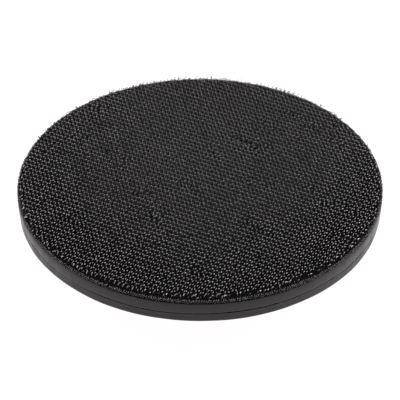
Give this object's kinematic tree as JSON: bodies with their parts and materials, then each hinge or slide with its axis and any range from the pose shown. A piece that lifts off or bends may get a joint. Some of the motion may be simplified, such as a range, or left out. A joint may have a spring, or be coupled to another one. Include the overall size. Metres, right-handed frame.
{
  "type": "sander backing pad",
  "caption": "Round hook-faced backing pad for an orbital sander, with a riveted steel hub and a threaded stud on its back.",
  "frame": {"origin": "on the stud's axis, in the plane where the hub seats against the sander's spindle", "axes": "+Z through the pad towards the hook face; the stud points along -Z; X runs through two rivets"},
  "size_m": [0.125, 0.125, 0.0274],
  "materials": {
    "hooks": "black nylon monofilament, semi-gloss",
    "tape": "black woven nylon",
    "adhesive": "black contact adhesive, cured",
    "soft_polyurethane": "black moulded polyurethane, satin skin",
    "firm_polyurethane": "black moulded polyurethane, satin",
    "glass_laminate": "glass-fibre epoxy laminate, matt",
    "plated_steel": "zinc-plated steel, satin",
    "stud_steel": "turned zinc-plated steel",
    "fibre": "red vulcanised fibre, matt",
    "rivet_steel": "zinc-plated steel, cold headed"
  },
  "bodies": {
    "root": {"hook_pile": "hooks", "hook_tape": "tape", "adhesive_film": "adhesive", "foam_cushion": "soft_polyurethane", "backing_shell": "firm_polyurethane", "support_plate": "glass_laminate", "hub_flange": "plated_steel", "stud": "stud_steel", "spacer_washer": "fibre", "rivet_1": "rivet_steel", "rivet_burr_1": "rivet_steel", "rivet_2": "rivet_steel", "rivet_burr_2": "rivet_steel", "rivet_3": "rivet_steel", "rivet_burr_3": "rivet_steel", "rivet_4": "rivet_steel", "rivet_burr_4": "rivet_steel", "rivet_5": "rivet_steel", "rivet_burr_5": "rivet_steel", "rivet_6": "rivet_steel", "rivet_burr_6": "rivet_steel"}
  },
  "joints": []
}
